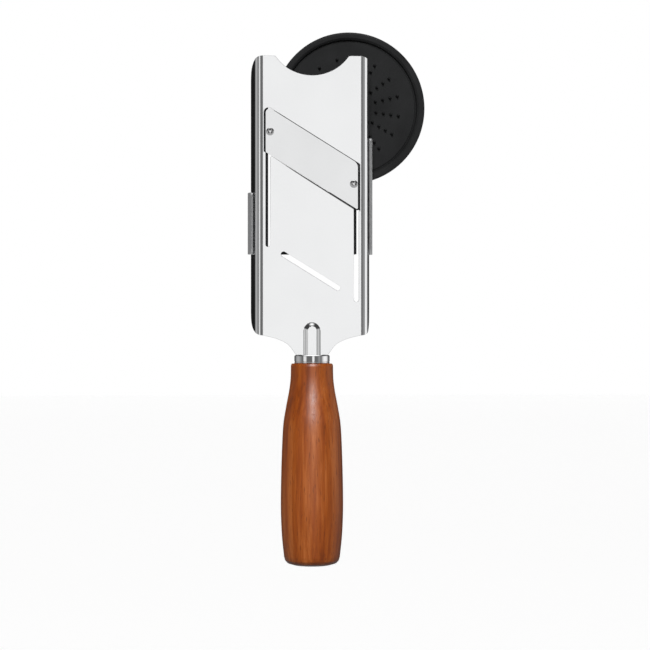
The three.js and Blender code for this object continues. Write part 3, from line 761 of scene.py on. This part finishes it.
def blade():
    outline = rounded([(BLADE_LEFT, slanted(BLADE_EDGE, BLADE_LEFT), 1.0),
                       (BLADE_RIGHT, slanted(BLADE_EDGE, BLADE_RIGHT), 0.6),
                       (BLADE_RIGHT, slanted(BLADE_TOP, BLADE_RIGHT), 4.5),
                       (BLADE_LEFT, slanted(BLADE_TOP, BLADE_LEFT), 2.2)], steps=8)
    holes = [circle((x, slanted(BLADE_MID, x)), SCREW_HOLE) for x in (-SCREW_X, SCREW_X)]
    bm = plate([outline, *holes], BLADE_THICK, 0.07)
    across = Vector((-ALONG.y, 0, ALONG.x))
    foot = Vector((0, 0, BLADE_EDGE))
    cut(bm, foot + across * GRIND, across)
    normals = plate_normals(bm, BLADE_THICK)
    slope = (BLADE_THICK - BLADE_TIP) / GRIND

    def place(x, t, z, n):
        """The rear face is ground down towards the cutting edge."""
        d = (Vector((x, 0, z)) - foot).dot(across)
        limit = BLADE_TIP + slope * max(0, d)
        if t > limit:
            t = limit
            if d < GRIND - 0.01:
                n = (Vector((0, 1, 0)) - across * slope).normalized()
        return (x, BED_FRONT + t, z), n
    piece("blade_plate", shaped(bm, normals, place), "slicer", "blade_steel", ["blade"])


def cross_recess(at, depth, size, angle, towards):
    """Cutters shaped like a cross-point screwdriver's two blades, on a screw along Y."""
    turn = Matrix.Rotation(angle, 4, "Y")
    arms = []
    for k in (0, 1):
        bm = bmesh.new()
        w, wt, l, lt = size * 0.21, size * 0.12, size, size * 0.35
        outer, inner = -towards * 1.0, towards * depth
        rows = [(l, w, outer), (l, w, 0.0), (lt, wt, inner)]
        rings = []
        for length, width, y in rows:
            rings.append([bm.verts.new((sx * length, y, sz * width))
                          for sx, sz in ((-1, -1), (1, -1), (1, 1), (-1, 1))])
        for a, b in zip(rings, rings[1:]):
            for i in range(4):
                bm.faces.new((a[i - 1], a[i], b[i], b[i - 1]))
        bm.faces.new(rings[0])
        bm.faces.new(rings[-1])
        bm.transform(turn @ Matrix.Rotation(math.pi / 2 * k, 4, "Y"))
        bm.transform(Matrix.Scale(MM, 4) @ Matrix.Translation(Vector(at)))
        arms.append(loose(bm))
    return arms


def dome(radius, seat, rise, lip, towards, steps=10):
    """Profile from the crown down to the seat of a domed head; towards is -1 if it faces -Y."""
    out = []
    for k in range(steps + 1):
        a = math.pi / 2 * k / steps
        out.append((radius * math.sin(a), seat + towards * (lip + rise * math.cos(a))))
    return out + [(radius, seat)]


def blade_screws():
    seat = BED_FRONT - 0.1
    for side, x, angle in (("left", -SCREW_X, 0.75), ("right", SCREW_X, 0.45)):
        z = slanted(BLADE_MID, x)
        profile = dome(2.2, seat, 0.85, 0.25, -1) + [(1.4, seat), (1.4, 9.2), (1.1, 9.4), (0, 9.4)]
        obj = turned("blade_screw_" + side, profile, (x, 0, z), "slicer", "bright_hardware",
                     ["blade_screw_" + side], steps=64)
        for arm in cross_recess((x, seat - 1.05, z), 0.75, 1.7, angle, 1):
            boolean(obj, arm)
        keep("blade_nut_" + side, "plain_hardware", 0.18)


def bridge_screws():
    seat = BRIDGE_BACK + 0.1
    for side, angle in (("left", 0.9), ("right", 0.2)):
        at = centre("bridge_screw_" + side)
        profile = [(0, 9.5), (1.2, 9.5), (1.4, 9.7), (1.4, seat)] + dome(2.9, seat, 1.55, 0.5, 1)[::-1]
        obj = turned("bridge_screw_head_" + side, profile, (at.x, 0, at.z), "slicer", "bright_hardware",
                     ["bridge_screw_" + side], steps=64)
        for arm in cross_recess((at.x, seat + 1.95, at.z), 1.3, 1.6, angle, -1):
            boolean(obj, arm)


# ---------------------------------------------------------------- bridge

def rear_bridge():
    """A flat plate cut out with its notches and holes, then folded forward round the walls."""
    radius, turn, flare = 2.4, math.radians(99), math.radians(9)
    thickness_at_wall, front = 1.79, 4.4
    bend_y = BRIDGE_BACK - radius
    wall_x = BED_HALF + BEND * math.cos(flare)
    wall_y = BED_FRONT + BEND * (1 - math.sin(flare))
    outside = wall_x + (bend_y - wall_y) * math.tan(flare) + thickness_at_wall / math.cos(flare)
    half = outside - radius / math.cos(flare)
    bend_end = BRIDGE_BACK - radius * (1 - math.cos(turn))
    reach = half + radius * turn + (bend_end - front) / math.sin(turn) - 0.03
    bottom, left, right = 118, 152.7, 183.5  # the plate is taller at the right, below the stud's lobe
    stud, lobe = centre("parking_stud"), 9.0
    outline = rounded([
        (-reach, bottom, 3), (25.4, bottom, 0.4), (25.4, 145, 1), (28.2, 145, 1), (28.2, bottom, 0.4),
        (reach, bottom, 3), (reach, right, 3), (stud.x + lobe - 2.6, right, 5),
        *[(*p, 0) for p in arc((stud.x, stud.z), lobe, -0.12, math.pi + 0.16, 32)],
        (stud.x - lobe + 1.6, 172, 40), (stud.x - lobe + 1.9, left, 8),
        (-21.8, left, 0.4), (-21.8, 121.3, 1), (-24.4, 121.3, 1), (-24.4, left, 0.4),
        (-reach, left, 3)], steps=8)
    holes = [circle((0, 136), 4.1, 48), circle((stud.x, stud.z), 2.1)]
    holes += [circle((x, 126), SCREW_HOLE) for x in (-17, 17)]
    bm = plate([outline, *holes], SHEET)
    bend_cuts = 16
    for side in (-1, 1):
        for k in range(bend_cuts + 1):
            cut(bm, (side * (half + radius * turn * k / bend_cuts), 0, 0), (1, 0, 0))

    def place(s, t, z, n):
        return folded(s, t, z, n, half, radius, turn, BRIDGE_BACK, -1)
    mesh = shaped(bm, plate_normals(bm, SHEET), place, flip=True)
    piece("bridge_strap", mesh, "slicer", "bridge_steel", ["rear_bridge"])


# ---------------------------------------------------------------- adjuster

def adjuster():
    at = centre("adjusting_spindle")
    foot = (at.x, 0, at.z)
    bush = soft([(2.6, 13), (4, 13), (4, 16.3), (5.6, 16.3), (5.6, 17.2), (2.6, 17.2)], 0.15)
    turned("bush_collar", bush, foot, "slicer", "plain_hardware", ["threaded_bush"], steps=64)
    pad = soft([(0, 0.9), (2.6, 0.95), (3.4, 1.2), (4, 1.8), (4, 3.6), (2.2, 3.6), (2.2, 2.4),
                (0, 2.4)], 0.12)
    turned("pad_button", pad, foot, "pad", "black_plastic", ["pressure_pad"], steps=64)

    pitch, depth, thread_low, thread_top = 0.8, 0.36, 5.0, 17.4

    def thread(r, h, a):
        """A V-shaped groove that rises one pitch each turn and fades out at both ends."""
        if not thread_low < h < thread_top or r < 2:
            return r
        phase = (h / pitch - a / (2 * math.pi)) % 1
        ease = min(1, (h - thread_low) / pitch, (thread_top - h) / pitch)
        return r - depth * ease * abs(2 * phase - 1)
    rows = [(0, 2.5), (1.4, 2.6), (2.1, 3.0), (2.1, 4.2), (2.5, 4.6)]
    rows += [(2.5, 4.8 + 0.1 * k) for k in range(129)]
    rows += [(2.5, 24.4), (2.4, 24.5), (0, 24.5)]
    turned("spindle_thread", rows, foot, "adjuster", "plain_hardware", ["adjusting_spindle"],
           steps=48, ripple=thread, sharp=60)

    lobes, front, back = 12, 17.6, 27.2

    def scallop(r, h, a):
        """Finger grooves round the knob's rim."""
        if r < 8 or h < front + 1.5:
            return r
        fade = min(1, (r - 8) / 2.2)
        return r - 0.55 * fade * (1 - math.cos(lobes * a))
    grip = soft([(2.6, 24.6), (2.6, front), (6.5, front), (6.5, front + 1.6), (10.2, front + 1.6, 0.7),
                 (11, front + 2.6, 0.6), (11, back - 0.9, 0.5), (10.3, back, 0.5), (7.4, back, 0.25),
                 (7.4, back - 1.4), (0, back - 1.4)], 0.2, 5)
    turned("knob_grip", [(0, 24.6)] + grip, foot, "adjuster", "black_plastic", ["adjusting_knob"],
           steps=240, ripple=scallop)
    cap = soft([(0, back - 1.3), (7.3, back - 1.3), (7.3, back - 0.2, 0.35), (6.5, back + 0.35, 0.3),
                (5.6, back + 0.3, 0.3), (5.2, back + 0.05, 0.2), (1.4, back + 0.25, 0.3),
                (0, back + 0.45)], 0.2)
    turned("knob_cap_disc", cap, foot, "adjuster", "bright_hardware", ["knob_cap"])


# ---------------------------------------------------------------- finger guard

def finger_guard():
    at = centre("parking_stud")
    foot = (at.x, 0, at.z)
    radius, face, rim, back = 43.0, 20.8, 17.8, 23.4
    groove = 0.885 * radius
    dish = soft([
        (1.6, face + 1.9), (7.1, face + 1.9), (7.1, face - 1.2, 0.15), (9.4, face - 1.2, 0.4),
        (10.2, face, 0.5), (groove - 0.7, face, 0.35), (groove, face + 0.75, 0.3),
        (groove + 0.7, face - 1.6, 0.4), (groove + 1.8, rim + 0.3, 0.8), (radius - 1.5, rim, 0.9),
        (radius - 0.3, rim + 0.7, 0.7), (radius, rim + 2.0, 1.0), (radius - 0.3, back - 0.9, 0.8),
        (radius - 2, back, 0.8), (12.2, back, 0.3), (11.6, back + 0.02), (1.6, back + 0.02)], 0.12, 4)
    shell = turned("guard_disc", dish, foot, "guard", "guard_plastic", ["guard_shell"], steps=192)
    boolean(shell, loose(guard_spikes(at, face)), "UNION")
    magnet = soft([(1.6, face - 1.2), (6.7, face - 1.2, 0.3), (7, face - 0.9, 0.2), (7, face + 1.8),
                   (2.2, face + 1.8), (2.2, face + 0.6)], 0.1)
    turned("magnet_disc", magnet, foot, "guard", "bright_hardware", ["guard_magnet"])
    base = back + 0.1
    waist = spline([(11.0, base), (8.4, base + 2.0), (7.3, base + 5.6), (8.6, base + 9.6), (12.4, base + 13),
                    (14.6, base + 16.2), (14.2, base + 19.2), (11.4, base + 21.3), (6, base + 22.25)], 72)
    grip = [(0, base + 10.4), (1.3, base + 10.4), (1.3, base), (10.6, base)] + waist + [(0, base + 22.4)]
    turned("guard_grip", grip, foot, "guard", "guard_plastic", ["guard_knob"], steps=128)
    screw = soft([(0, face + 0.75), (2.0, face + 0.75), (2.0, face + 1.7), (1.25, face + 1.7),
                  (1.25, back + 10), (0, back + 10.4)], 0.1)
    turned("grip_screw", screw, foot, "guard", "plain_hardware", ["guard_knob_screw"], steps=32)
    stud = soft([(0, 13.9), (3.2, 13.95, 0.4), (3.2, 14.9), (2, 14.9), (2, 16.3), (7.6, 16.3, 0.2),
                 (8, 16.7, 0.2), (8, 18.8, 0.4), (7.4, 19.2, 0.4), (0, 19.2)], 0.12)
    turned("stud_button", stud, foot, "slicer", "bright_hardware", ["parking_stud"])


def guard_spikes(at, face):
    """Blunt cones on the guard's face that hold the food, in rows like the spokes of a wheel."""
    rows, in_row, first, spacing, height = 16, 4, 15.4, 4.3, 3.3
    cone = [(0, face - height), (0.24, face - height + 0.07), (0.40, face - height + 0.3),
            (0.80, face - 0.35), (0.95, face - 0.08), (1.15, face + 0.1), (1.15, face + 0.6), (0, face + 0.6)]
    spikes = bmesh.new()
    for row in range(rows):
        a = math.radians(14.2 + 360 / rows * row)
        for k in range(in_row):
            reach = first + spacing * k
            foot = (at.x + reach * math.cos(a), 0, at.z + reach * math.sin(a))
            spike = lathe(cone, foot, steps=20)
            bmesh.ops.recalc_face_normals(spike, faces=spike.faces[:])
            mesh = as_mesh(spike, "cone")
            spikes.from_mesh(mesh)
            bpy.data.meshes.remove(mesh)
    return spikes


# ---------------------------------------------------------------- handle and ferrule

def handle():
    """Turned wood, bored for the tang and the ferrule's sleeve. Points are (radius, height)."""
    swell = spline([(11.8, 55.4), (12.0, 48), (12.9, 41), (14.6, 32), (16.1, 22), (16.9, 6), (17.4, -14),
                    (17.4, -27), (16.8, -40), (15.6, -51.5)], 90)
    foot = soft([(15.6, -51.6), (15.0, -53.5, 2.0), (13.6, -55.0, 2.0), (9.5, -56.2, 8), (0, -56.7)], 0, 6)
    bore = [(0, -25.4), (6.9, -25.4), (6.9, 49), (7.9, 49), (7.9, 56.4), (8.2, 56.7), (11.1, 56.7),
            (11.45, 56.55), (11.6, 56.2)]
    turned("handle_body", bore + swell + foot[1:], (0, 0, 0), "slicer", "handle_wood", ["handle"],
           axis="Z", steps=144, sharp=40)


def ferrule():
    """A plated ring with a fine groove, and an opening for the tang and its stamped rib."""
    low, top, radius = 56.8, 61.5, 9.9
    ring = soft([(0, low - 6), (7.8, low - 6), (7.8, low), (radius - 0.15, low, 0.1),
                 (radius, low + 0.25, 0.1), (radius, low + 0.55, 0.12), (radius - 0.22, low + 0.72, 0.08),
                 (radius - 0.22, low + 0.92, 0.08), (radius, low + 1.1, 0.12), (radius, top - 0.5, 0.4),
                 (radius - 0.5, top, 0.4), (0, top)], 0.1, 5)
    obj = turned("ferrule_ring", ring, (0, 0, 0), "slicer", "ferrule_chrome", ["ferrule"],
                 axis="Z", steps=128)
    room, rib_foot, rib_top, rib_front = 0.25, 4.85, 2.9, -1.8
    side, front = TANG_HALF + room, BED_FRONT - room
    section = [(-side, front), (-rib_foot, front), (-rib_top, rib_front - room), (rib_top, rib_front - room),
               (rib_foot, front), (side, front), (side, 0.6 + room), (-side, 0.6 + room)]
    bm = bmesh.new()
    rings = [[bm.verts.new((x * MM, y * MM, z * MM)) for x, y in section] for z in (low - 8, top + 1)]
    for i in range(len(section)):
        bm.faces.new((rings[0][i - 1], rings[0][i], rings[1][i], rings[1][i - 1]))
    for r in rings:
        bm.faces.new(r)
    boolean(obj, loose(bm))


body_sheet()
ramp_tongue()
blade()
blade_screws()
bridge_screws()
keep("blade_frame", "black_plastic", 0.35, 3)
rear_bridge()
adjuster()
finger_guard()
handle()
ferrule()


# ---------------------------------------------------------------- studio

# what a polished surface sees round the studio: a dim room with white cards and black flags in it.
# Each has a direction from the front, a half width and a soft edge in degrees, and a brightness
ROOM = 0.15
CARDS = [("flag behind left", -156, 8, 6, 0.01), ("wall at the left", -106, 8, 28, 0.42),
         ("strip at the left", -51, 6, 8, 0.84), ("card in front", 5, 5, 4, 0.95),
         ("narrow card", 45, 2, 12, 0.30), ("wall at the right", 93, 12, 22, 0.98),
         ("flag behind right", 158, 7, 6, 0.02)]
BACKDROP, BACKDROP_HALF = 1.0, 8
OVERHEAD, UNDERFOOT, TOP_LIGHT = 0.05, 0.45, 1.6
DIFFUSE_LIGHT = 0.07
# name, place in metres, side in metres, watts
LAMPS = [("key", (-0.12, -1.6, 0.95), 0.5, 44), ("sheen", (-0.02, -1.6, 0.95), 0.5, 60),
         ("rear_left", (-1.0, 1.4, 0.9), 0.8, 16), ("rear_right", (1.0, 1.3, 0.7), 0.8, 12)]


def view_from_front():
    camera = in_scene("camera", bpy.data.cameras.new("camera"))
    aim = Vector((0.00728, BED_FRONT * MM, 0.07826))
    camera.location = aim + Vector((-0.1177, -1.4954, 0))
    face_towards(camera, aim)
    camera.data.sensor_width = 36
    camera.data.lens = 148.4
    camera.data.clip_start = 0.01
    bpy.context.scene.camera = camera


def face_towards(obj, aim):
    obj.rotation_mode = "QUATERNION"
    obj.rotation_quaternion = (aim - obj.location).to_track_quat("-Z", "Y")


def pale_floor():
    bm = bmesh.new()
    bmesh.ops.create_grid(bm, x_segments=8, y_segments=8, size=30)
    mesh = as_mesh(bm, "floor")
    ground = in_scene("floor", mesh)
    ground.location = (0, 0, -0.75)
    s = Shader("floor_white", Roughness=0.9, Emission_Color=(1, 1, 1, 1), Emission_Strength=0.85)
    s.bsdf.inputs["Specular IOR Level"].default_value = 0.1
    s.colour(s.mix(s.noise(s.place, scale=0.8), (0.90, 0.90, 0.90), (0.93, 0.93, 0.93)))
    mesh.materials.append(s.material)
    ground.visible_diffuse = False
    ground.visible_glossy = False


def ring_stops():
    """The cards as a colour ramp once round the studio, from behind, by the left, to behind."""
    levels = [(BACKDROP_HALF - 180, BACKDROP)]
    for _, middle, half, soft_edge, level in CARDS:
        levels += [(middle - half - soft_edge, ROOM), (middle - half, level),
                   (middle + half, level), (middle + half + soft_edge, ROOM)]
    levels = [(-180, BACKDROP)] + levels + [(180 - BACKDROP_HALF, BACKDROP), (180, BACKDROP)]
    return [((degrees + 180) / 360, (level, level, level)) for degrees, level in levels]


def surroundings():
    """The cards for polished surfaces, an even dim light for the others, and white for the camera."""
    world = bpy.data.worlds.new("studio")
    bpy.context.scene.world = world
    world.use_nodes = True
    tree = world.node_tree
    tree.nodes.clear()
    link = tree.links.new

    def node(kind, **settings):
        made = tree.nodes.new(kind)
        for key, value in settings.items():
            setattr(made, key, value)
        return made

    def spread(value, low, high, **settings):
        made = node("ShaderNodeMapRange", **settings)
        made.inputs["From Min"].default_value = low
        made.inputs["From Max"].default_value = high
        link(value, made.inputs["Value"])
        return made.outputs[0]

    def over(low, high, below, level):
        """Goes from the light below to one level as the height goes from low to high."""
        made = node("ShaderNodeMix", data_type="RGBA")
        link(spread(split.outputs["Z"], low, high, interpolation_type="SMOOTHSTEP"), made.inputs[0])
        link(below, made.inputs[6])
        made.inputs[7].default_value = (level, level, level, 1)
        return made.outputs[2]

    def background(level):
        made = node("ShaderNodeBackground")
        made.inputs["Color"].default_value = (level, level, level, 1)
        return made

    def either(ray, others, this):
        """One shader for the rays of a kind, and another for the others."""
        made = node("ShaderNodeMixShader")
        link(path.outputs[ray], made.inputs[0])
        link(others.outputs[0], made.inputs[1])
        link(this.outputs[0], made.inputs[2])
        return made

    split = node("ShaderNodeSeparateXYZ")
    link(node("ShaderNodeTexCoord").outputs["Generated"], split.inputs[0])
    forward = node("ShaderNodeMath", operation="MULTIPLY")
    forward.inputs[1].default_value = -1
    link(split.outputs["Y"], forward.inputs[0])
    azimuth = node("ShaderNodeMath", operation="ARCTAN2")
    link(split.outputs["X"], azimuth.inputs[0])
    link(forward.outputs[0], azimuth.inputs[1])
    ring = node("ShaderNodeValToRGB")
    set_stops(ring.color_ramp, ring_stops())
    link(spread(azimuth.outputs[0], -math.pi, math.pi), ring.inputs[0])
    light = over(0.16, 0.34, ring.outputs["Color"], OVERHEAD)
    light = over(0.80, 0.97, light, TOP_LIGHT)
    light = over(-0.10, -0.30, light, UNDERFOOT)
    cards = background(1)
    link(light, cards.inputs["Color"])
    path = node("ShaderNodeLightPath")
    unseen = either("Is Diffuse Ray", cards, background(DIFFUSE_LIGHT))
    seen = either("Is Camera Ray", unseen, background(1))
    link(seen.outputs[0], node("ShaderNodeOutputWorld").inputs["Surface"])


def lamps():
    """The sheen is a highlight for the oiled wood alone; the others light every piece softly."""
    for name, at, side, power in LAMPS:
        light = bpy.data.lights.new(name, "AREA")
        light.size = side
        light.energy = power
        lamp = in_scene(name, light)
        lamp.location = at
        face_towards(lamp, Vector((0, 0, 0.1)))
        lamp.visible_glossy = name == "sheen"
        lamp.visible_diffuse = name != "sheen"
        if name == "sheen":
            wooden = bpy.data.collections.new("wooden")
            wooden.objects.link(bpy.data.objects["handle_body"])
            lamp.light_linking.receiver_collection = wooden


bpy.context.scene.view_settings.view_transform = "Standard"
view_from_front()
pale_floor()
surroundings()
lamps()
